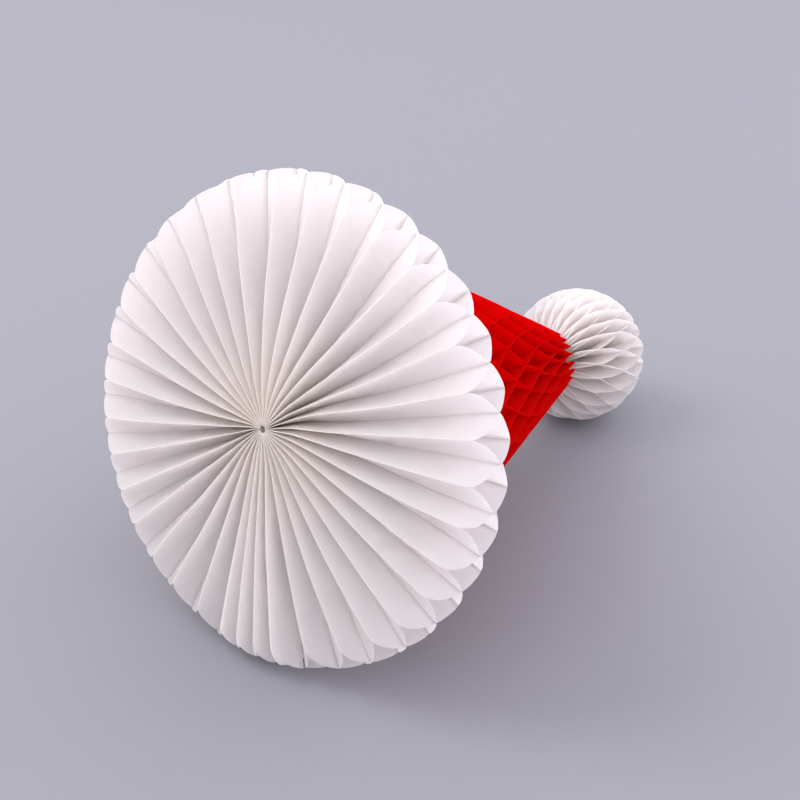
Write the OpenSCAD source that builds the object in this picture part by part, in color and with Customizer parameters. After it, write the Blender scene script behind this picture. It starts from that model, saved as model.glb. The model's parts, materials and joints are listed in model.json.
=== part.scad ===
// Santa hat of honeycomb tissue, fanned fully open and lying on its brim and pompom.
// Each pad is a stack of thin leaves that share one spine. Neighbouring leaves are glued
// together along lines across the spine, alternately with the leaf before and the leaf
// after, so the open stack shows honeycomb cells.

/* [Tissue] */
// Thickness of one leaf
leaf_t = 0.12; // [0.08:0.02:0.14]
// Gap left between two leaves where glue joins them
glue_gap = 0.06; // [0.04:0.01:0.08]
// Radius of the bound spine that every leaf starts from
spine_r = 6.4; // [6.2:0.1:7]
// Radius of the hole down the middle of the spine
spine_hole_r = 1.1; // [0.9:0.1:1.5]

/* [Brim] */
// Leaves in the brim
brim_leaves = 72; // [60:12:72]
// Radius at which the glued ridges of the bottom face end
brim_face_r = 93.5; // [88:0.5:96]
// Largest radius of the brim
brim_r = 99.8; // [98:0.1:101]
// Width of the tissue strip between two glue lines
brim_cell = 10.7; // [10.5:0.1:11.5]

/* [Cone] */
// Leaves in the cone
cone_leaves = 48; // [36:12:48]
// Radius of the cone where it meets the brim
cone_base_r = 74.4; // [70:0.2:78]
// Radius of the cone's mouth, where it meets the pompom
cone_tip_r = 15.7; // [14:0.1:17]
// Height of the cone's mouth above the brim's bottom ridges
cone_tip_z = 211.6; // [211:0.1:212]

/* [Pompom] */
// Leaves in the pompom
pompom_leaves = 48; // [36:12:48]
// Radius of the pompom
pompom_r = 33.3; // [33:0.1:34]
// Height of the pompom's centre above the brim's bottom ridges
pompom_z = 240.6; // [240:0.2:241]

/* [Cards] */
// Thickness of a cover card
card_t = 0.2; // [0.15:0.05:0.2]
// Gap between the two cards, filled by the adhesive strips
card_gap = 0.1; // [0.06:0.02:0.1]
// How far the cards stay inside the tissue outline
card_inset = 1.5; // [1:0.5:2.5]

/* [Binding] */
// Radius of the binding thread
thread_r = 0.5; // [0.3:0.1:0.7]
// Radius of the thread's knots
knot_r = 0.95; // [0.8:0.05:1]
// How deep the knots sit in the ends of the spine
knot_depth = 3; // [1:0.5:5]

/* [Hidden] */
SECTORS = 12;
POMPOM_ROWS = 12;
function two_digits(k) = k < 10 ? str("0", k) : str(k);

tissue_white = "#efe9ee";
tissue_red = "#d0121b";
card_white = "#f4f2f0";

// Angle of the seam about the hat's axis, from straight down
seam_angle = -9.5;
// How each stack stands open: share of the stack against degrees from the seam. The leaves
// next to the seam stay bunched, and each tissue pad settles in its own way.
brim_opening = [
    [0, 1.3], [0.014, 4], [0.07, 15.5], [0.097, 25], [0.3, 97], [0.486, 166],
    [0.52, 181], [0.764, 276], [0.958, 348.5], [0.986, 357], [1, 358.7]
];
cone_opening = [[0, 1.3], [0.54, 197], [0.97, 349.5], [1, 358.7]];
pompom_opening = [[0, 1.3], [0.38, 139.5], [0.729, 240.5], [0.979, 346], [1, 358.7]];

leaf_start = spine_r + 0.4;

// Rise between two glue lines at radius r: the strip leans over to reach its neighbour
function brim_rise(r) = sqrt(brim_cell ^ 2 - (r * 2 * PI / brim_leaves) ^ 2);
brim_mid_z = 2 * brim_rise(brim_face_r);
function brim_z(line, r) = brim_mid_z + (line - 2) * brim_rise(r);
brim_line_r = [brim_face_r, brim_r - 0.6, brim_r, brim_r - 10.8, brim_r - 23.8];
// Radius of the extra point that follows the dome of the brim's face
brim_dome_r = 52;

cone_base_z = 31.8;
cone_base_spine_z = 37.2;
cone_tip_spine_z = 208.2;
// The cone's glue lines are this far apart, from this height up
cone_strip = 22.5;
cone_line_z = 29.3;

pompom_spine_z = cone_tip_spine_z + 1;
// The pompom stays this far clear of the cone's mouth
mouth_gap = 0.5;
function cone_mouth_z(r) = cone_tip_spine_z
    + (r - leaf_start) * (cone_tip_z - cone_tip_spine_z) / (cone_tip_r - leaf_start);
// The pompom's glue lines are this far apart, from this height below its centre up
pompom_strip = 13.3;
pompom_line_z = -34.9;
// A pad's outer edge stays at least this far outside its inner edge
least_width = 0.3;

// Each row of a pad: [position in glue lines, [[radius, height], ... from the spine outwards]]
brim_rows_list = [
    for (line = [0:4])
        [line, [for (r = [leaf_start, brim_dome_r, brim_line_r[line]]) [r, brim_z(line, r)]]]
];
cone_rows_list = [
    for (z = [cone_base_z, for (line = [1:8]) cone_line_z + line * cone_strip, cone_tip_z]) let (
        f = (z - cone_base_z) / (cone_tip_z - cone_base_z)
    ) [(z - cone_line_z) / cone_strip, [
        [leaf_start, cone_base_spine_z + f * (cone_tip_spine_z - cone_base_spine_z)],
        [cone_base_r + f * (cone_tip_r - cone_base_r), z]
    ]]
];
// The rows lie closer together towards the two ends, where the outline turns in
pompom_rows_list = [
    for (row = [1:POMPOM_ROWS - 1]) let (
        dz = -pompom_r * cos(180 * row / POMPOM_ROWS),
        r = max(leaf_start + least_width, pompom_r * sin(180 * row / POMPOM_ROWS)),
        z = max(pompom_z + dz, cone_mouth_z(r) + mouth_gap)
    ) [(z - pompom_z - pompom_line_z) / pompom_strip, [
        [leaf_start, row == 1 ? max(pompom_spine_z, z) : z],
        [r, z]
    ]]
];

// The hat lies down by this tilt, at which the brim and the pompom both touch the ground
rest_ridge = 5; // angle from straight down to the ridges that the brim stands on
brim_reach = brim_r * cos(rest_ridge);
tilt = acos(pompom_r / norm([brim_reach, pompom_z - brim_mid_z]))
    - atan((pompom_z - brim_mid_z) / brim_reach);
spine_height = brim_reach * cos(tilt) + brim_mid_z * sin(tilt);
back_y = -brim_face_r * sin(tilt);
front_y = pompom_z * cos(tilt) + pompom_r;

// Lays the hat down: its axis runs along +Y and down, and straight down is angle 0
module lay_down() {
    translate([0, -(back_y + front_y) / 2, spine_height])
        rotate([-90 - tilt, 0, 0]) rotate([0, 0, 90])
            children();
}

// ---- Leaves ----

// Angle about the spine of a share u of a stack
function opened(u, opening) = seam_angle + lookup(u, opening);

// Angle and sideways shift of a leaf on a glue line. Even lines join leaves 0-1, 2-3 and so
// on, odd lines join leaves 1-2, 3-4 and so on, and the end leaves lie against the cards.
function on_line(leaf, line, leaves, opening) = let (
    lower = leaf % 2 == line % 2,
    border = lower ? leaf + 1 : leaf
) [opened(border / leaves, opening), (lower ? -1 : 1) * (glue_gap + leaf_t) / 2];

// Between two glue lines the angle and the shift change evenly
function on_row(leaf, at, leaves, opening) = let (
    a = on_line(leaf, floor(at), leaves, opening),
    b = on_line(leaf, ceil(at), leaves, opening),
    f = at - floor(at)
) a + f * (b - a);

function leaf_point(place, r, z, side) = let (shift = place[1] + side * leaf_t / 2) [
    r * cos(place[0]) - shift * sin(place[0]),
    r * sin(place[0]) + shift * cos(place[0]),
    z
];

module tissue_leaf(leaf, leaves, rows, opening) {
    n = len(rows);
    w = len(rows[0][1]);
    function id(side, i, c) = (side * n + i) * w + c;
    points = [
        for (side = [-1, 1], row = rows, p = row[1])
            leaf_point(on_row(leaf, row[0], leaves, opening), p[0], p[1], side)
    ];
    faces = [
        for (i = [0:n - 2], c = [0:w - 2]) each [
            [id(1, i, c), id(1, i, c + 1), id(1, i + 1, c + 1)],
            [id(1, i, c), id(1, i + 1, c + 1), id(1, i + 1, c)],
            [id(0, i, c), id(0, i + 1, c + 1), id(0, i, c + 1)],
            [id(0, i, c), id(0, i + 1, c), id(0, i + 1, c + 1)]
        ],
        for (c = [0:w - 2]) each [
            [id(0, 0, c), id(0, 0, c + 1), id(1, 0, c + 1)],
            [id(0, 0, c), id(1, 0, c + 1), id(1, 0, c)],
            [id(0, n - 1, c), id(1, n - 1, c + 1), id(0, n - 1, c + 1)],
            [id(0, n - 1, c), id(1, n - 1, c), id(1, n - 1, c + 1)]
        ],
        for (i = [0:n - 2]) each [
            [id(0, i, 0), id(1, i, 0), id(1, i + 1, 0)],
            [id(0, i, 0), id(1, i + 1, 0), id(0, i + 1, 0)],
            [id(0, i, w - 1), id(1, i + 1, w - 1), id(1, i, w - 1)],
            [id(0, i, w - 1), id(0, i + 1, w - 1), id(1, i + 1, w - 1)]
        ]
    ];
    polyhedron(points, faces);
}

// One sector of a pad: its share of the leaves, each a solid of its own
module pad_sector(k, leaves, rows, opening) {
    share = leaves / SECTORS;
    lay_down()
        for (leaf = [k * share:(k + 1) * share - 1])
            tissue_leaf(leaf, leaves, rows, opening);
}

module brim_pad(k) {
    color(tissue_white) pad_sector(k, brim_leaves, brim_rows_list, brim_opening);
}

module cone_pad(k) {
    color(tissue_red) pad_sector(k, cone_leaves, cone_rows_list, cone_opening);
}

module pompom_pad(k) {
    color(tissue_white) pad_sector(k, pompom_leaves, pompom_rows_list, pompom_opening);
}

// ---- Spine ----

// Clearance between the ends of two spines, and from a spine's end to the pad's outline
spine_gap = 0.3;
brim_spine_z = [brim_z(0, spine_r) + spine_gap, brim_z(4, spine_r)];
cone_spine_z = [brim_spine_z[1] + spine_gap, pompom_spine_z - spine_gap];
pompom_spine_ends = [pompom_spine_z, pompom_z + pompom_r - spine_gap];

// A cut runs this far past the faces that it goes through
cut = 1;

// The folded edges of the leaves, pressed and glued into a tube round the thread
module bound_spine(ends) {
    lay_down() translate([0, 0, ends[0]]) difference() {
        cylinder(h = ends[1] - ends[0], r = spine_r, $fn = 48);
        translate([0, 0, -cut]) cylinder(h = ends[1] - ends[0] + 2 * cut, r = spine_hole_r, $fn = 48);
    }
}

module brim_spine() {
    color(tissue_white) bound_spine(brim_spine_z);
}

module cone_spine() {
    color(tissue_red) bound_spine(cone_spine_z);
}

module pompom_spine() {
    color(tissue_white) bound_spine(pompom_spine_ends);
}

thread_ends = [brim_spine_z[0] + knot_depth, pompom_spine_ends[1] - knot_depth];

module binding_thread() {
    color(card_white) lay_down() translate([0, 0, thread_ends[0]])
        cylinder(h = thread_ends[1] - thread_ends[0], r = thread_r, $fn = 24);
}

knot_h = 1.4;
knot_tip_r = 0.5;

// A knot is a bead on the end of the thread, glued into the hole. way is 1 or -1 along the axis.
module knot(z, way) {
    lay_down() translate([0, 0, z]) mirror([0, 0, way < 0 ? 1 : 0])
        cylinder(h = knot_h, r1 = knot_r, r2 = knot_tip_r, $fn = 32);
}

module brim_knot() {
    color(card_white) knot(thread_ends[0], -1);
}

module pompom_knot() {
    color(card_white) knot(thread_ends[1], 1);
}

// ---- Cards ----

// The cards start clear of the bunched roots of the leaves next to them
card_start = 10.5;

// Half outline of the hat, as the cards are cut, drawn with the radius along X
module card_outline() {
    in = card_inset;
    brim_edge = [for (line = [0:4]) [brim_line_r[line] - in, brim_z(line, brim_line_r[line])]];
    difference() {
        union() {
            polygon([
                [0, brim_z(0, card_start) + in],
                [brim_dome_r, brim_z(0, brim_dome_r) + in],
                [brim_line_r[0] - in, brim_z(0, brim_line_r[0]) + in],
                for (line = [1:3]) brim_edge[line],
                brim_edge[4] - [0, in],
                [cone_base_r - in, cone_base_z - in],
                [cone_tip_r - in, cone_tip_z],
                [cone_tip_r - in, pompom_z],
                [0, pompom_z]
            ]);
            translate([0, pompom_z]) circle(r = pompom_r - in, $fn = 64);
        }
        translate([-pompom_r, -brim_r])
            square([pompom_r + card_start, brim_r + pompom_z + 2 * pompom_r]);
    }
}

// A flat piece in the seam plane, from one side's distance to another's
module in_seam(from, to) {
    lay_down() rotate([0, 0, seam_angle]) rotate([90, 0, 0])
        translate([0, 0, -to]) linear_extrude(to - from) children();
}

module fixed_card() {
    color(card_white) in_seam(card_gap / 2, card_gap / 2 + card_t) card_outline();
}

module swing_card() {
    color(card_white) in_seam(-card_gap / 2 - card_t, -card_gap / 2) card_outline();
}

tape_w = 9;
brim_tape_r = 34; // radius at which the brim's strip starts
brim_tape_l = 56;
cone_tape_z = 60; // height at which the cone's strip starts
cone_tape_l = 60;
cone_tape_edge = 4; // from the card's inner edge to the strip

module brim_tape() {
    color(card_white) in_seam(0, card_gap / 2)
        translate([brim_tape_r, brim_mid_z - tape_w / 2]) square([brim_tape_l, tape_w]);
}

module cone_tape() {
    color(card_white) in_seam(0, card_gap / 2)
        translate([card_start + cone_tape_edge, cone_tape_z]) square([tape_w, cone_tape_l]);
}

// ---- Drawing ----

for (k = [0:SECTORS - 1]) {
    brim_pad(k);
    cone_pad(k);
    pompom_pad(k);
}
brim_spine();
cone_spine();
pompom_spine();
binding_thread();
brim_knot();
pompom_knot();
fixed_card();
swing_card();
brim_tape();
cone_tape();
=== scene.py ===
"""Honeycomb tissue Santa hat, fanned fully open and lying on its brim and its pompom.

Three pads of thin tissue leaves share one bound spine: the white brim, the red cone and the
white pompom. Neighbouring leaves are glued along lines across the spine, by turns with the
leaf before and the leaf after, so the open stack shows honeycomb cells.
"""

import json
import math

import bmesh
import bpy
from mathutils import Matrix, Vector, noise


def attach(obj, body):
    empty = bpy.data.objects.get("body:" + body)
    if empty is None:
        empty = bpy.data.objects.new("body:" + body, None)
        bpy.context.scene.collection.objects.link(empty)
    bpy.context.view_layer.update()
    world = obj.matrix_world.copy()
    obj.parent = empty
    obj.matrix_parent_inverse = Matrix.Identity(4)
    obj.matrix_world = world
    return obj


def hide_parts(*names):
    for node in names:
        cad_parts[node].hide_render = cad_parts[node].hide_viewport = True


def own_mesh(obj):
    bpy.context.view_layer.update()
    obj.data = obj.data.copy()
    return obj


bl_info = {
    "name": "Honeycomb tissue hat",
    "version": (1, 0, 0),
    "blender": (4, 5, 0),
    "location": "3D View > Sidebar > Honeycomb hat",
    "description": "Builds the tissue pads, spine, cards and finishes of a honeycomb paper hat",
    "category": "Object",
}

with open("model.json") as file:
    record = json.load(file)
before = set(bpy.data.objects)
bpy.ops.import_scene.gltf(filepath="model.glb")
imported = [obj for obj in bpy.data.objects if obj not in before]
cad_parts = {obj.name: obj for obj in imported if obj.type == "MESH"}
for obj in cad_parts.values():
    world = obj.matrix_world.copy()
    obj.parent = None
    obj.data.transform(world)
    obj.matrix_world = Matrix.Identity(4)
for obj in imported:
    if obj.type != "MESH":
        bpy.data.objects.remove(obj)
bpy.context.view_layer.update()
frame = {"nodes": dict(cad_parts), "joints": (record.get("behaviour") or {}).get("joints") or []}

MM = 0.001
SECTORS = 12

# ---- The hat's own frame: the spine's axis, straight down as angle 0, and across ----

FAN = next(joint for joint in frame["joints"] if joint["name"] == "fan")
SPINE_POINT = Vector(FAN["pos_m"])
AXIS = Vector(FAN["axis"]).normalized()
STRAIGHT_DOWN = Vector((0, 0, -1))
DOWN = (STRAIGHT_DOWN - AXIS * STRAIGHT_DOWN.dot(AXIS)).normalized()
ACROSS = AXIS.cross(DOWN)
GLUE = 0.05  # half the width of a glue line, as a share of the strip between two lines

SEAM_ANGLE = -9.5  # degrees round the spine, from straight down

# How each stack stands open: share of the stack against degrees from the seam
BRIM_OPENING = (
    (0, 1.3), (0.014, 4), (0.07, 15.5), (0.097, 25), (0.3, 97), (0.486, 166),
    (0.52, 181), (0.764, 276), (0.958, 348.5), (0.986, 358), (1, 358.9),
)
CONE_OPENING = ((0, 1.3), (0.54, 197), (0.97, 349.5), (1, 358.7))
POMPOM_OPENING = ((0, 1.3), (0.38, 139.5), (0.729, 240.5), (0.979, 346), (1, 358.7))

# The brim's cut outline: position in glue lines against radius in mm. The cut rounds the
# corner between the face and the rim, and slopes in again behind its widest part.
BRIM_OUTLINE = (
    (0, 88.5), (0.03, 90.6), (0.08, 92.1), (0.16, 93.5), (0.28, 95.1), (0.45, 96.7),
    (0.7, 98.4), (1, 99.4), (1.5, 100.1), (2, 99.7), (2.5, 96), (3, 89), (3.5, 82.5), (4, 76),
)
BRIM_ROWS = (
    0, 0.03, 0.08, 0.15, 0.24, 0.36, 0.5, 0.65, 0.82, 1, 1.12, 1.27, 1.43, 1.6, 1.8, 2,
    2.15, 2.35, 2.6, 2.8, 3, 3.2, 3.5, 3.8, 4,
)
MIDDLE_LINE = 2  # the brim's middle glue line

# Inside this radius the leaves are spread evenly round the spine, which fades out over
# the second length, both in mm
EVEN_R, EVEN_FADE = 2, 8
# How fast the glue lines' wander changes: with each pair, each line and each mm of radius
WANDER_STEPS = (1.37, 2.11, 0.018)
WANDER_PITCH = 15  # degrees between two pairs where a glue line is free to wander
WANDER_R = 30  # radius in mm where it is free to wander
# How fast the crinkles change: with each mm across the leaf, each mm of radius and each leaf
CRINKLE_STEPS = (0.07, 0.09, 3.3)
CRINKLE_R = 25  # radius in mm where the tissue is free to crinkle
FINE_SCALE, FINE_SHARE = 2.3, 0.5  # the finer crinkles on top of the broad ones
WARM_LIGHT_R = 60  # radius in mm inside which the brim's folds take on painted warm light, the tint of light passed through and bounced among the layers
PAPER_SHIFT = (0.31, 0.17)  # each leaf's place in the paper's pattern, past the last one's, in m

# Lights: name, its power's property, its spot in metres to the right, upwards and backwards
# of the hat's middle as the camera sees it, its diameter in metres, and its colour
LIGHTS = (
    ("Key", "key_power", (-1.15, 1.45, -0.15), 1.1, "#fffdf9"),
    ("Fill", "fill_power", (1.3, 1.1, -0.15), 1.6, "#f4f2ff"),
)
HAT_MIDDLE = Vector((0, 0, 0.08))
FLOOR_SIZE = 20  # half the floor's side, in m


def lookup(x, table):
    """Straight-line reading of a table of (x, y) pairs."""
    for (x0, y0), (x1, y1) in zip(table, table[1:]):
        if x <= x1:
            return y0 + (y1 - y0) * (x - x0) / (x1 - x0)
    return table[-1][1]


def curve(x, table):
    """Smooth reading of a table of (x, y) pairs: its slope is even at each point."""
    last = len(table) - 1
    k = next((i for i in range(last) if x <= table[i + 1][0]), last - 1)
    (x0, y0), (x1, y1) = table[k], table[k + 1]
    before, after = table[max(k - 1, 0)], table[min(k + 2, last)]
    slope0 = (y1 - before[1]) / (x1 - before[0])
    slope1 = (after[1] - y0) / (after[0] - x0)
    width = x1 - x0
    f = (x - x0) / width
    ease = f * f * (3 - 2 * f)
    rise = slope0 * width * f * (1 - f) ** 2 - slope1 * width * f * f * (1 - f)
    return y0 + (y1 - y0) * ease + rise


def smooth(f):
    """Eases 0 to 1."""
    f = min(max(f, 0.0), 1.0)
    return f * f * (3 - 2 * f)


def bell(*offsets):
    """A bell curve: 1 where every offset is 0, and fading over an offset of about 1."""
    return math.exp(-sum(offset ** 2 for offset in offsets))


def place(r, angle, z, sideways=0.0):
    """A point given in millimetres round the spine, in the row frame in metres."""
    a = math.radians(angle)
    out = DOWN * math.cos(a) + ACROSS * math.sin(a)
    turn = ACROSS * math.cos(a) - DOWN * math.sin(a)
    return SPINE_POINT + (out * r + turn * sideways + AXIS * z) * MM


# ---- Sizes and colours that a user would change ----


def linear(code):
    """A colour from its sRGB hex value, turned to linear."""
    parts = [int(code[i:i + 2], 16) / 255 for i in (1, 3, 5)]
    return [p / 12.92 if p <= 0.04045 else ((p + 0.055) / 1.055) ** 2.4 for p in parts]


class HatSizes(bpy.types.PropertyGroup):
    """Sizes of the tissue pads"""

    leaf_t: bpy.props.FloatProperty(
        name="Leaf thickness", description="Thickness of one tissue leaf, in mm",
        default=0.12, min=0.03
    )
    glue_press: bpy.props.FloatProperty(
        name="Glue press", default=0.02, min=0.01,
        description="How far two leaves press into each other on a glue line, in mm"
    )
    root_r: bpy.props.FloatProperty(
        name="Root radius", description="Radius at which the leaves leave the spine, in mm",
        default=1.5, min=1
    )
    crinkle: bpy.props.FloatProperty(
        name="Crinkle", description="Height of the crinkles in the tissue, in mm", default=0.8, min=0
    )
    wander: bpy.props.FloatProperty(
        name="Wander", description="How far a glue line strays from its place, in degrees",
        default=0.7, min=0
    )


class HatFinishes(bpy.types.PropertyGroup):
    """Colours of the finishes"""

    white: bpy.props.FloatVectorProperty(
        name="White tissue", description="Colour of the brim's and pompom's tissue", subtype="COLOR",
        default=linear("#fffdfc"), min=0, max=1
    )
    # Painted warm light: the white tissue turns to this colour deep in the folds, near the spine, for
    # the light that passes through and bounces among the layers
    painted_warm_light: bpy.props.FloatVectorProperty(
        name="Painted warm light", description="Colour of the white tissue deep in the folds", subtype="COLOR",
        default=linear("#fff9ee"), min=0, max=1
    )
    red: bpy.props.FloatVectorProperty(
        name="Red tissue", description="Colour of the cone's tissue", subtype="COLOR",
        default=linear("#f50a0a"), min=0, max=1
    )
    # Painted shade: the cone's red turns to this darker red deep in the folds, near the spine
    shaded_red: bpy.props.FloatVectorProperty(
        name="Shaded red", description="Colour of the red tissue in its thicker patches", subtype="COLOR",
        default=linear("#ee0808"), min=0, max=1
    )
    card: bpy.props.FloatVectorProperty(
        name="Card", description="Colour of the cover cards", subtype="COLOR",
        default=linear("#efebe7"), min=0, max=1
    )
    adhesive: bpy.props.FloatVectorProperty(
        name="Adhesive", description="Colour of the adhesive strips", subtype="COLOR",
        default=linear("#ece6d2"), min=0, max=1
    )
    thread: bpy.props.FloatVectorProperty(
        name="Thread", description="Colour of the binding thread", subtype="COLOR",
        default=linear("#efe9dc"), min=0, max=1
    )
    floor: bpy.props.FloatVectorProperty(
        name="Floor", description="Colour of the floor", subtype="COLOR",
        default=linear("#8f8f95"), min=0, max=1
    )


class HatStage(bpy.types.PropertyGroup):
    """Camera and light"""

    azimuth: bpy.props.FloatProperty(
        name="Azimuth", description="Camera's turn from behind -Y towards +X", subtype="ANGLE",
        default=math.radians(36.87)
    )
    elevation: bpy.props.FloatProperty(
        name="Elevation", description="Camera's height above level", subtype="ANGLE",
        default=math.radians(29.475)
    )
    distance: bpy.props.FloatProperty(
        name="Distance", description="Camera to the face's middle", unit="LENGTH", default=0.6668
    )
    aim_right: bpy.props.FloatProperty(
        name="Aim right", description="Camera's offset to its right", unit="LENGTH", default=0.0492
    )
    aim_up: bpy.props.FloatProperty(
        name="Aim up", description="Camera's offset upwards", unit="LENGTH", default=0.0104
    )
    lens: bpy.props.FloatProperty(name="Lens", description="Focal length in mm", default=76.5)
    key_power: bpy.props.FloatProperty(
        name="Key light", description="Power of the key light, in W", default=12
    )
    fill_power: bpy.props.FloatProperty(
        name="Fill light", description="Power of the fill light, in W", default=8
    )
    sky: bpy.props.FloatProperty(
        name="Room light", description="Strength of the even room light", default=1.43
    )


# ---- Pads ----


class Pad:
    """One stack of leaves: its count, its opening, its glue lines and its outline.

    Rows are a leaf's mesh rows, placed in glue lines. Columns run from the spine to the
    outline, evenly where crowd is 1. Strip is the tissue's width in mm from one glue line to
    the next, and swell shapes the way it crosses over, which is straight where it is 1."""

    reach = 1.5  # leaves to each side over which the pitch is measured

    def __init__(self, name, leaves, opening, rows, columns, crowd, root_r, strip, swell):
        self.name = name
        self.leaves = leaves
        self.opening = opening
        self.rows = rows
        self.columns = columns
        self.crowd = crowd
        self.root_r = root_r
        self.strip = strip
        self.swell = swell

    def opened(self, share):
        """Degrees from the seam of a share of the stack."""
        return lookup(share, self.opening)

    def pitch(self, share):
        """Degrees from one glued pair to the next, near a share of the stack."""
        reach = self.reach / self.leaves
        low, high = max(share - reach, 0), min(share + reach, 1)
        return (self.opened(high) - self.opened(low)) / (high - low) * 2 / self.leaves

    def edge(self, line):
        """Radius of the cut outline at a position in glue lines."""
        raise NotImplementedError

    def height(self, line, r, pitch):
        """Height along the spine of a point of the leaf."""
        raise NotImplementedError

    def bend(self, angle, r):
        """How far the folds stray round the spine at a radius, in degrees."""
        return 0.0

    def crinkle(self, angle, r):
        """How crinkled the tissue is at a place, where 1 is usual."""
        return 1.0


class Brim(Pad):
    """The white brim: four strips high, domed on both faces."""

    mean_pitch = 10.0  # degrees from one glued pair to the next, on average
    pitch_share = 0.6  # how much of a pair's own pitch shows in its height
    face_r = 93.5

    # Near the spine the folds lean round it: the radius in mm where they lean by the angles
    # below, the radius inside which they lean no more, and how fast they straighten outwards
    lean_r, lean_least_r, lean_fade = 20, 14, 18
    lean, lean_swing = -2.4, 2.0  # in degrees: all round, and more to one side
    # They spread next to the seam: degrees, where and how far round
    spread, spread_angle, spread_reach = 5.5, 26, 22
    # One cell gapes near the spine, and shows its depth: degrees, where and how far round,
    # at what radius and over what length, and how sharp its edge is
    gape, gape_angle, gape_reach, gape_r, gape_length, gape_edge = 2.6, 257, 9, 24, 16, 3
    # Patches that are more creased: how much, where and how far round, at what radius and
    # over what length
    creased = ((2.6, 298, 22, 70, 17), (1.2, 130, 18, 62, 14))

    def rise(self, r, pitch):
        """Height from one glue line to the next: the strip leans over to its neighbour."""
        across = r * math.radians(pitch) / 2
        return math.sqrt(self.strip ** 2 - across ** 2)

    def edge(self, line):
        return curve(line, BRIM_OUTLINE)

    def height(self, line, r, pitch):
        middle = MIDDLE_LINE * self.rise(self.face_r, self.mean_pitch)
        pitch = self.mean_pitch + self.pitch_share * (pitch - self.mean_pitch)
        return middle + (line - MIDDLE_LINE) * self.rise(r, pitch)

    def bend(self, angle, r):
        near = math.exp((self.lean_r - max(r, self.lean_least_r)) / self.lean_fade)
        lean = self.lean + self.lean_swing * math.sin(math.radians(angle + SEAM_ANGLE))
        spread = self.spread * bell((angle - self.spread_angle) / self.spread_reach)
        past_gape = angle - self.gape_angle
        gape = bell((r - self.gape_r) / self.gape_length) * bell(past_gape / self.gape_reach)
        part = self.gape * gape * math.tanh(past_gape / self.gape_edge)
        return near * (lean + spread) + part

    def crinkle(self, angle, r):
        crinkled = 1.0
        for much, middle, reach, middle_r, length in self.creased:
            crinkled += much * bell((angle - middle) / reach, (r - middle_r) / length)
        return crinkled


class Cone(Pad):
    """The red cone, straight from the brim to its mouth."""

    base = (74.4, 31.8)  # radius and height in mm where it meets the brim
    tip = (15.7, 211.6)  # radius and height at its mouth
    spine_z = (37.2, 208.2)  # heights of its two ends at the spine
    line_z = 29.3  # height of its glue line 0

    def along(self, line):
        """Share of the way from the base to the mouth, at a position in glue lines."""
        return (self.line_z + line * self.strip - self.base[1]) / (self.tip[1] - self.base[1])

    def edge(self, line):
        return self.base[0] + self.along(line) * (self.tip[0] - self.base[0])

    def height(self, line, r, pitch):
        outer = self.line_z + line * self.strip
        inner = self.spine_z[0] + self.along(line) * (self.spine_z[1] - self.spine_z[0])
        edge = self.edge(line)
        return inner + (outer - inner) * (r - self.root_r) / (edge - self.root_r)


class Pompom(Pad):
    """The white pompom, a ball."""

    ball_r = 33.3
    centre_z = 240.6
    line_z = -34.9  # height of its glue line 0 past its centre
    neck_r = 14.5  # the neck that reaches into the cone's mouth

    def edge(self, line):
        dz = self.line_z + line * self.strip
        least = self.neck_r if dz < 0 else 2 * self.root_r
        return math.sqrt(max(self.ball_r ** 2 - dz * dz, least ** 2))

    def height(self, line, r, pitch):
        return self.centre_z + self.line_z + line * self.strip


def rows_between(first, last, steps):
    """Positions in glue lines: both ends, and every step between them."""
    inner = [k / steps for k in range(math.ceil(first * steps), math.floor(last * steps) + 1)]
    return sorted({first, last, *inner})


def make_pads(sizes):
    """The hat's three pads."""
    root_r = sizes.root_r
    brim = Brim(
        "brim", leaves=72, opening=BRIM_OPENING, rows=BRIM_ROWS, columns=44,
        crowd=0.85, root_r=root_r, strip=10.7, swell=1.25
    )
    cone = Cone(
        "cone", leaves=48, opening=CONE_OPENING, rows=rows_between(0.11, 8.1, 6), columns=14,
        crowd=1.7, root_r=root_r, strip=22.5, swell=1.0
    )
    pompom = Pompom(
        "pompom", leaves=48, opening=POMPOM_OPENING, rows=rows_between(-0.1, 5.09, 8), columns=14,
        crowd=1.6, root_r=root_r, strip=13.3, swell=1.0
    )
    return brim, cone, pompom


def settled(pad, share, r):
    """Angle from the seam at a radius: even at the root, and as the stack stands open outside."""
    rooted = math.exp((EVEN_R - r) / EVEN_FADE)
    opened = pad.opened(share)
    return opened * (1 - rooted) + 360 * share * rooted + pad.bend(opened, r)


def glued(pad, leaf, line, r, sizes):
    """Angle and side of a leaf where it crosses a glue line."""
    lower = leaf % 2 == line % 2
    border = leaf + 1 if lower else leaf
    share = border / pad.leaves
    per_pair, per_line, per_mm = WANDER_STEPS
    where = Vector((border * per_pair, line * per_line + pad.leaves, r * per_mm))
    free = min(1.0, pad.pitch(share) / WANDER_PITCH) * smooth(r / WANDER_R)
    stray = 2 * sizes.wander * free * noise.noise(where)
    return settled(pad, share, r) + stray, -1 if lower else 1


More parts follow.
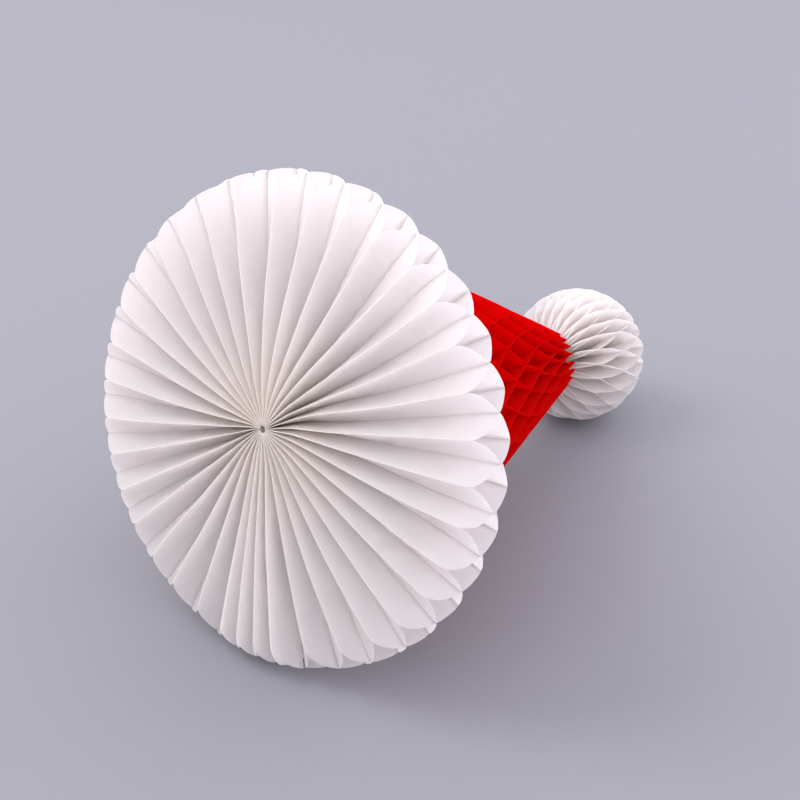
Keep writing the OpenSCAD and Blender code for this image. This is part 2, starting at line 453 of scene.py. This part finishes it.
def leaf_point(pad, leaf, line, t, sizes):
    """Where a point of a leaf lies: t runs from the spine, 0, to the cut outline, 1."""
    share = (leaf + 0.5) / pad.leaves
    pitch = pad.pitch(share)
    edge = pad.edge(line)
    r = pad.root_r + (edge - pad.root_r) * (1 - (1 - t) ** pad.crowd)
    below = math.floor(line)
    f = line - below
    angle0, side0 = glued(pad, leaf, below, r, sizes)
    angle1, side1 = glued(pad, leaf, below + 1, r, sizes)
    g = min(max((f - GLUE) / (1 - 2 * GLUE), 0.0), 1.0)
    g = g ** pad.swell if below < MIDDLE_LINE else 1 - (1 - g) ** pad.swell
    angle = angle0 + g * (angle1 - angle0)
    pair = (sizes.leaf_t - sizes.glue_press) / 2
    sideways = pair * (side0 + g * (side1 - side0))
    loose = math.sin(math.pi * f) ** 2 * smooth(r / CRINKLE_R)
    across, along, per_leaf = CRINKLE_STEPS
    where = Vector((line * pad.strip * across, r * along, leaf * per_leaf))
    crinkled = noise.noise(where) + FINE_SHARE * noise.noise(where * FINE_SCALE)
    sideways += sizes.crinkle * loose * pad.crinkle(angle, r) * crinkled
    return r, SEAM_ANGLE + angle, pad.height(line, r, pitch), sideways


def add_leaf(mesh, pad, leaf, sizes, depth, tissue_uv):
    """Adds one leaf to a pad's mesh: a grid, laid out along its glue lines and its radius."""
    across, along = len(pad.rows) - 1, pad.columns
    made = bmesh.ops.create_grid(mesh, x_segments=across, y_segments=along, size=0.5)
    flat = {}
    for vert in made["verts"]:
        row = round((vert.co.x + 0.5) * across)
        t = vert.co.y + 0.5
        r, angle, z, sideways = leaf_point(pad, leaf, pad.rows[row], t, sizes)
        vert.co = place(r, angle, z, sideways)
        # depth runs from 0 outwards to 1 near the spine: it mixes in the painted warm light of the
        # white tissue and the painted shade of the red
        vert[depth] = smooth(1 - r / WARM_LIGHT_R) if pad.name == "brim" else smooth(1 - t)
        flat[vert] = (
            pad.rows[row] * pad.strip * MM + leaf * PAPER_SHIFT[0], r * MM + leaf * PAPER_SHIFT[1]
        )
    faces = {face for vert in made["verts"] for face in vert.link_faces}
    for face in faces:
        face.smooth = True
        for loop in face.loops:
            loop[tissue_uv].uv = flat[loop.vert]


def build_sector(pad, sector, sizes, material):
    """One piece: a sector's share of a pad's leaves."""
    mesh = bmesh.new()
    depth = mesh.verts.layers.float.new("depth")
    tissue_uv = mesh.loops.layers.uv.new("tissue")
    share = pad.leaves // SECTORS
    for leaf in range(sector * share, (sector + 1) * share):
        add_leaf(mesh, pad, leaf, sizes, depth, tissue_uv)
    for edge in mesh.edges:
        edge.smooth = not edge.is_boundary
    piece = add_piece(f"{pad.name}_tissue_{sector + 1:02d}", mesh, material)
    sheet = piece.modifiers.new("Leaf thickness", "SOLIDIFY")
    sheet.thickness = sizes.leaf_t * MM
    sheet.offset = 0
    return piece


def add_piece(name, mesh, material):
    """Turns a finished mesh into an object with its material."""
    data = bpy.data.meshes.new(name)
    mesh.to_mesh(data)
    mesh.free()
    data.materials.append(material)
    piece = bpy.data.objects.new(name, data)
    bpy.context.scene.collection.objects.link(piece)
    return piece


def fold_with_sector(piece, pad_name, sector):
    """The piece rides on its sector, with a mesh of its own, and stands in for the sector's pad."""
    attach(piece, f"sector_{sector + 1:02d}")
    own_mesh(piece)
    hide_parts(f"{pad_name}_pad_{sector + 1:02d}")


# ---- Materials ----


def add_node(tree, kind, inputs=None, **settings):
    """Adds a node, sets its properties, and gives its inputs values or links."""
    made = tree.nodes.new(kind)
    for name, value in settings.items():
        setattr(made, name, value)
    for name, value in (inputs or {}).items():
        if isinstance(value, bpy.types.NodeSocket):
            tree.links.new(value, made.inputs[name])
        else:
            made.inputs[name].default_value = value
    return made


def start_material(name):
    """An empty material and its node tree."""
    material = bpy.data.materials.new(name)
    material.use_nodes = True
    material.node_tree.nodes.clear()
    return material, material.node_tree


def opaque(colour):
    """A colour property as a colour with alpha."""
    return (*colour, 1.0)


def tissue_paper(name, shallow, deep, through, share_through, specular, sheen):
    """Machine-glazed tissue paper, 18 g/m2, folded and fanned.

    It gives the eye a soft matt sheet with faint clouds where the pulp lies thicker, fine
    fibres, and light that comes through the sheet into the folds behind it."""
    material, tree = start_material(name)
    uv = add_node(tree, "ShaderNodeUVMap", uv_map="tissue").outputs["UV"]
    depth = add_node(tree, "ShaderNodeAttribute", attribute_name="depth").outputs["Fac"]
    # pulp clouds, about 5 mm across
    clouds = add_node(
        tree, "ShaderNodeTexNoise", {"Vector": uv, "Scale": 200, "Detail": 3, "Roughness": 0.55}
    )
    # fibres, about 0.3 mm by 2 mm, which is as fine as the render can show
    stretched = add_node(tree, "ShaderNodeMapping", {"Vector": uv, "Scale": (3300, 500, 1)})
    fibres = add_node(
        tree, "ShaderNodeTexNoise",
        {"Vector": stretched.outputs[0], "Scale": 1, "Detail": 2, "Roughness": 0.6}
    )
    # handling creases, about 2.5 mm apart
    creases = add_node(
        tree, "ShaderNodeTexNoise", {"Vector": uv, "Scale": 380, "Detail": 2, "Distortion": 0.6}
    )
    cloudy = add_node(
        tree, "ShaderNodeMapRange",
        {0: clouds.outputs["Fac"], 1: 0.25, 2: 0.75, 3: 0.955, 4: 1.0}
    )
    # Towards the spine the colour turns to the deep one: painted warm light on white tissue, painted
    # shade on red tissue
    painted_fold_light = add_node(
        tree, "ShaderNodeMix", {0: depth, 6: opaque(shallow), 7: opaque(deep)}, data_type="RGBA"
    )
    # The base colour: the painted fold light times the pulp clouds
    pulp = add_node(
        tree, "ShaderNodeMix", {0: 1.0, 6: painted_fold_light.outputs[2], 7: cloudy.outputs[0]},
        data_type="RGBA", blend_type="MULTIPLY"
    )
    crease_bump = add_node(
        tree, "ShaderNodeBump", {"Height": creases.outputs["Fac"], "Strength": 0.6, "Distance": 0.00018}
    )
    fibre_bump = add_node(
        tree, "ShaderNodeBump",
        {"Height": fibres.outputs["Fac"], "Strength": 0.35, "Distance": 0.00003,
         "Normal": crease_bump.outputs[0]}
    )
    face = add_node(
        tree, "ShaderNodeBsdfPrincipled",
        {"Base Color": pulp.outputs[2], "Roughness": 0.85, "Specular IOR Level": specular,
         "Sheen Weight": sheen, "Normal": fibre_bump.outputs[0]}
    )
    back = add_node(tree, "ShaderNodeBsdfTranslucent", {"Color": opaque(through)})
    both = add_node(
        tree, "ShaderNodeMixShader", {0: share_through, 1: face.outputs[0], 2: back.outputs[0]}
    )
    add_node(tree, "ShaderNodeOutputMaterial", {"Surface": both.outputs[0]})
    return material


def plain_surface(name, colour, grain_mm, depth_mm, contrast, roughness, specular=0.3):
    """A matt or satin surface with a fine grain read from Object coordinates."""
    material, tree = start_material(name)
    where = add_node(tree, "ShaderNodeTexCoord").outputs["Object"]
    grain = add_node(
        tree, "ShaderNodeTexNoise",
        {"Vector": where, "Scale": 1 / (grain_mm * MM), "Detail": 3, "Roughness": 0.6}
    )
    shade = add_node(
        tree, "ShaderNodeMapRange", {0: grain.outputs["Fac"], 1: 0.3, 2: 0.7, 3: 1 - contrast, 4: 1.0}
    )
    tinted = add_node(
        tree, "ShaderNodeMix", {0: 1.0, 6: opaque(colour), 7: shade.outputs[0]},
        data_type="RGBA", blend_type="MULTIPLY"
    )
    bump = add_node(
        tree, "ShaderNodeBump",
        {"Height": grain.outputs["Fac"], "Strength": 0.5, "Distance": depth_mm * MM}
    )
    face = add_node(
        tree, "ShaderNodeBsdfPrincipled",
        {"Base Color": tinted.outputs[2], "Roughness": roughness, "Specular IOR Level": specular,
         "Normal": bump.outputs[0]}
    )
    add_node(tree, "ShaderNodeOutputMaterial", {"Surface": face.outputs[0]})
    return material


def twisted_thread(colour):
    """Spun cotton thread: soft and matt, with its twist's grooves darkened by painted shade."""
    material, tree = start_material("Spun cotton thread")
    where = add_node(tree, "ShaderNodeTexCoord").outputs["Object"]
    # the twist repeats about every 0.9 mm and leans across the thread
    lean = add_node(tree, "ShaderNodeMapping", {"Vector": where, "Rotation": (0.9, 0.5, 0.3)})
    twist = add_node(
        tree, "ShaderNodeTexWave",
        {"Vector": lean.outputs[0], "Scale": 350, "Distortion": 1.5, "Detail": 2}
    )
    # The colour darkens in the twist's grooves: painted shade
    shade = add_node(
        tree, "ShaderNodeMapRange", {0: twist.outputs["Fac"], 1: 0.0, 2: 1.0, 3: 0.72, 4: 1.0}
    )
    tinted = add_node(
        tree, "ShaderNodeMix", {0: 1.0, 6: opaque(colour), 7: shade.outputs[0]},
        data_type="RGBA", blend_type="MULTIPLY"
    )
    bump = add_node(
        tree, "ShaderNodeBump", {"Height": twist.outputs["Fac"], "Strength": 0.6, "Distance": 0.0001}
    )
    face = add_node(
        tree, "ShaderNodeBsdfPrincipled",
        {"Base Color": tinted.outputs[2], "Roughness": 0.9, "Sheen Weight": 0.3,
         "Normal": bump.outputs[0]}
    )
    add_node(tree, "ShaderNodeOutputMaterial", {"Surface": face.outputs[0]})
    return material


def white_tissue():
    """The brim's and pompom's tissue, made once."""
    finishes = bpy.context.scene.hat_finishes
    return bpy.data.materials.get("White tissue paper") or tissue_paper(
        "White tissue paper", shallow=finishes.white, deep=finishes.painted_warm_light, through=finishes.white,
        share_through=0.78, specular=0.2, sheen=0.05
    )


def red_tissue():
    """The cone's tissue, made once."""
    finishes = bpy.context.scene.hat_finishes
    return bpy.data.materials.get("Red tissue paper") or tissue_paper(
        "Red tissue paper", shallow=finishes.red, deep=finishes.shaded_red, through=finishes.red,
        share_through=0.7, specular=0.05, sheen=0.0
    )


# ---- Operators ----


class BuildPad:
    """What the three pad operators share."""

    bl_options = {"REGISTER", "UNDO"}
    which = 0
    slot = "white_tissue"

    def material(self):
        return white_tissue()

    def execute(self, context):
        sizes = context.scene.hat_sizes
        pad = make_pads(sizes)[self.which]
        for sector in range(SECTORS):
            piece = build_sector(pad, sector, sizes, self.material())
            fold_with_sector(piece, pad.name, sector)
        return {"FINISHED"}


class HAT_OT_brim(BuildPad, bpy.types.Operator):
    """Builds the white brim: 72 leaves in 12 sectors"""

    bl_idname = "hat.brim"
    bl_label = "Brim tissue"


class HAT_OT_cone(BuildPad, bpy.types.Operator):
    """Builds the red cone: 48 leaves in 12 sectors"""

    bl_idname = "hat.cone"
    bl_label = "Cone tissue"
    which = 1
    slot = "red_tissue"

    def material(self):
        return red_tissue()


class HAT_OT_pompom(BuildPad, bpy.types.Operator):
    """Builds the white pompom: 48 leaves in 12 sectors"""

    bl_idname = "hat.pompom"
    bl_label = "Pompom tissue"
    which = 2


class HAT_OT_spines(bpy.types.Operator):
    """Builds the bound spines, the pleated tubes that the leaves' folded edges make"""

    bl_idname = "hat.spines"
    bl_label = "Bound spines"
    bl_options = {"REGISTER", "UNDO"}

    # How far each tube's ends stand back, in mm: the brim's from its face and from the
    # cone, the cone's from both ends of its own leaves, and the pompom's from the cone's
    # leaves and from its top
    from_face, from_cone = 3.5, 2
    from_cone_base, from_cone_mouth = 1.6, 1
    from_mouth, from_top = 0.6, 1.5
    wall, pleat_depth, unevenness, uneven_length = 0.35, 0.16, 0.06, 5  # in mm
    steps_per_pleat, ring_gap, least_rings = 6, 4, 8
    weld = 0.02  # mm within which the tube's two edges are joined

    def execute(self, context):
        brim, cone, pompom = make_pads(context.scene.hat_sizes)
        face = brim.height(0, brim.root_r, brim.mean_pitch)
        base, mouth = cone.spine_z
        top = pompom.centre_z + pompom.ball_r
        ends = (
            (brim, face + self.from_face, base - self.from_cone, white_tissue()),
            (cone, base - self.from_cone_base, mouth - self.from_cone_mouth, red_tissue()),
            (pompom, mouth - self.from_mouth, top - self.from_top, white_tissue()),
        )
        for pad, low, high, material in ends:
            piece = self.pleated_tube(pad, low, high, material)
            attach(piece, "spine")
            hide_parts(f"{pad.name}_spine")
        return {"FINISHED"}

    def pleated_tube(self, pad, low, high, material):
        """A tube with one pleat for each glued pair, slightly uneven along its length."""
        pleats = pad.leaves // 2
        around = pleats * self.steps_per_pleat
        along = max(self.least_rings, round((high - low) / self.ring_gap))
        mesh = bmesh.new()
        depth = mesh.verts.layers.float.new("depth")
        tissue_uv = mesh.loops.layers.uv.new("tissue")
        made = bmesh.ops.create_grid(mesh, x_segments=around, y_segments=along, size=0.5)
        flat = {}
        for vert in made["verts"]:
            turn, t = vert.co.x + 0.5, vert.co.y + 0.5
            z = low + t * (high - low)
            pleat = self.pleat_depth * math.cos(2 * math.pi * pleats * turn)
            where = (math.cos(2 * math.pi * turn), math.sin(2 * math.pi * turn), z / self.uneven_length)
            uneven = self.unevenness * noise.noise(Vector(where))
            vert.co = place(pad.root_r - self.pleat_depth + pleat + uneven, 360 * turn, z)
            # The spine sits deepest and takes the deep colour in full: painted warm light on white
            # tissue, painted shade on red
            vert[depth] = 1.0
            flat[vert] = (turn * 2 * math.pi * pad.root_r * MM, z * MM)
        for face in mesh.faces:
            face.smooth = True
            for loop in face.loops:
                loop[tissue_uv].uv = flat[loop.vert]
        bmesh.ops.remove_doubles(mesh, verts=mesh.verts, dist=self.weld * MM)
        bmesh.ops.recalc_face_normals(mesh, faces=mesh.faces)
        for edge in mesh.edges:
            edge.smooth = not edge.is_boundary
        piece = add_piece(f"{pad.name}_spine_tissue", mesh, material)
        tube = piece.modifiers.new("Tube wall", "SOLIDIFY")
        tube.thickness = self.wall * MM
        tube.offset = -1
        return piece


class HAT_OT_cards(bpy.types.Operator):
    """Gives the cover cards and the adhesive strips their finish"""

    bl_idname = "hat.cards"
    bl_label = "Cards and strips"
    bl_options = {"REGISTER", "UNDO"}

    def execute(self, context):
        finishes = context.scene.hat_finishes
        # Uncoated white board, 220 g/m2: matt, with a short felt-like grain
        board = plain_surface(
            "Uncoated board", finishes.card, grain_mm=0.6, depth_mm=0.02, contrast=0.05, roughness=0.8
        )
        # Double-sided tissue tape: a satin film with faint clouds
        tape = plain_surface(
            "Double-sided tape", finishes.adhesive, grain_mm=2.0, depth_mm=0.01, contrast=0.08,
            roughness=0.4, specular=0.5
        )
        for node, material in (
            ("fixed_card", board), ("swing_card", board), ("brim_tape", tape), ("cone_tape", tape)
        ):
            finish_node(node, material)
        return {"FINISHED"}


class HAT_OT_binding(bpy.types.Operator):
    """Gives the binding thread and its knots their finish"""

    bl_idname = "hat.binding"
    bl_label = "Thread and knots"
    bl_options = {"REGISTER", "UNDO"}

    def execute(self, context):
        cotton = twisted_thread(context.scene.hat_finishes.thread)
        for node in ("binding_thread", "brim_knot", "pompom_knot"):
            finish_node(node, cotton)
        return {"FINISHED"}


def finish_node(node, material):
    """Gives a part of the frame a better material."""
    part = frame["nodes"][node]
    part.data.materials.clear()
    part.data.materials.append(material)


class HAT_OT_stage(bpy.types.Operator):
    """Lays the floor and sets the camera and the lights"""

    bl_idname = "hat.stage"
    bl_label = "Stage"
    bl_options = {"REGISTER", "UNDO"}

    def execute(self, context):
        stage = context.scene.hat_stage
        self.lay_floor(context)
        right, up, back = self.camera_axes(stage)
        self.set_camera(context, stage, right, up, back)
        level_back = Vector((back.x, back.y, 0)).normalized()
        sky = Vector((0, 0, 1))
        for name, power, (to_right, upwards, backwards), size, colour in LIGHTS:
            spot = HAT_MIDDLE + right * to_right + sky * upwards + level_back * backwards
            self.add_light(context, name, spot, size, getattr(stage, power), linear(colour))
        world = bpy.data.worlds.new("Soft room")
        world.use_nodes = True
        room = world.node_tree.nodes["Background"]
        room.inputs["Color"].default_value = opaque(linear("#f3f1fb"))
        room.inputs["Strength"].default_value = stage.sky
        context.scene.world = world
        context.scene.view_settings.view_transform = "Standard"
        return {"FINISHED"}

    def camera_axes(self, stage):
        """The camera's right, up and backward directions."""
        az, el = stage.azimuth, stage.elevation
        back = Vector((math.sin(az) * math.cos(el), -math.cos(az) * math.cos(el), math.sin(el)))
        right = Vector((math.cos(az), math.sin(az), 0))
        return right, back.cross(right), back

    def set_camera(self, context, stage, right, up, back):
        """Places the camera, level and looking towards the middle of the brim's face."""
        data = bpy.data.cameras.new("Camera")
        data.lens = stage.lens
        camera = bpy.data.objects.new("Camera", data)
        turned = Matrix((right, up, back)).transposed().to_4x4()
        spot = SPINE_POINT + back * stage.distance + right * stage.aim_right + up * stage.aim_up
        camera.matrix_world = Matrix.Translation(spot) @ turned
        context.scene.collection.objects.link(camera)
        context.scene.camera = camera

    def add_light(self, context, name, spot, size, power, colour):
        """Adds a round light that faces the hat's middle."""
        data = bpy.data.lights.new(name, "AREA")
        data.shape = "DISK"
        data.size = size
        data.energy = power
        data.color = colour
        light = bpy.data.objects.new(name, data)
        light.location = spot
        light.rotation_euler = (HAT_MIDDLE - spot).to_track_quat("-Z", "Y").to_euler()
        context.scene.collection.objects.link(light)

    def lay_floor(self, context):
        """Lays the surface that the hat lies on."""
        mesh = bmesh.new()
        bmesh.ops.create_grid(mesh, x_segments=1, y_segments=1, size=FLOOR_SIZE)
        # Matt vinyl backdrop: even, with a very faint grain
        vinyl = plain_surface(
            "Matt vinyl", context.scene.hat_finishes.floor, grain_mm=1.5, depth_mm=0.01, contrast=0.02,
            roughness=0.6
        )
        add_piece("floor", mesh, vinyl)


class HAT_PT_panel(bpy.types.Panel):
    """Lists the hat's operators"""

    bl_idname = "HAT_PT_panel"
    bl_label = "Honeycomb hat"
    bl_space_type = "VIEW_3D"
    bl_region_type = "UI"
    bl_category = "Honeycomb hat"

    def draw(self, context):
        for operator in OPERATORS:
            self.layout.operator(operator.bl_idname)


OPERATORS = (
    HAT_OT_brim, HAT_OT_cone, HAT_OT_pompom, HAT_OT_spines, HAT_OT_cards, HAT_OT_binding, HAT_OT_stage,
)
CLASSES = (HatSizes, HatFinishes, HatStage, *OPERATORS, HAT_PT_panel)


def register():
    """Registers the classes and the scene's settings."""
    for item in CLASSES:
        bpy.utils.register_class(item)
    bpy.types.Scene.hat_sizes = bpy.props.PointerProperty(type=HatSizes)
    bpy.types.Scene.hat_finishes = bpy.props.PointerProperty(type=HatFinishes)
    bpy.types.Scene.hat_stage = bpy.props.PointerProperty(type=HatStage)


def unregister():
    """Takes the classes and the scene's settings away again."""
    del bpy.types.Scene.hat_stage
    del bpy.types.Scene.hat_finishes
    del bpy.types.Scene.hat_sizes
    for item in reversed(CLASSES):
        bpy.utils.unregister_class(item)


def main():
    """Builds the hat."""
    register()
    bpy.ops.hat.stage()
    bpy.ops.hat.brim()
    bpy.ops.hat.cone()
    bpy.ops.hat.pompom()
    bpy.ops.hat.spines()
    bpy.ops.hat.cards()
    bpy.ops.hat.binding()


if __name__ == "__main__":
    main()
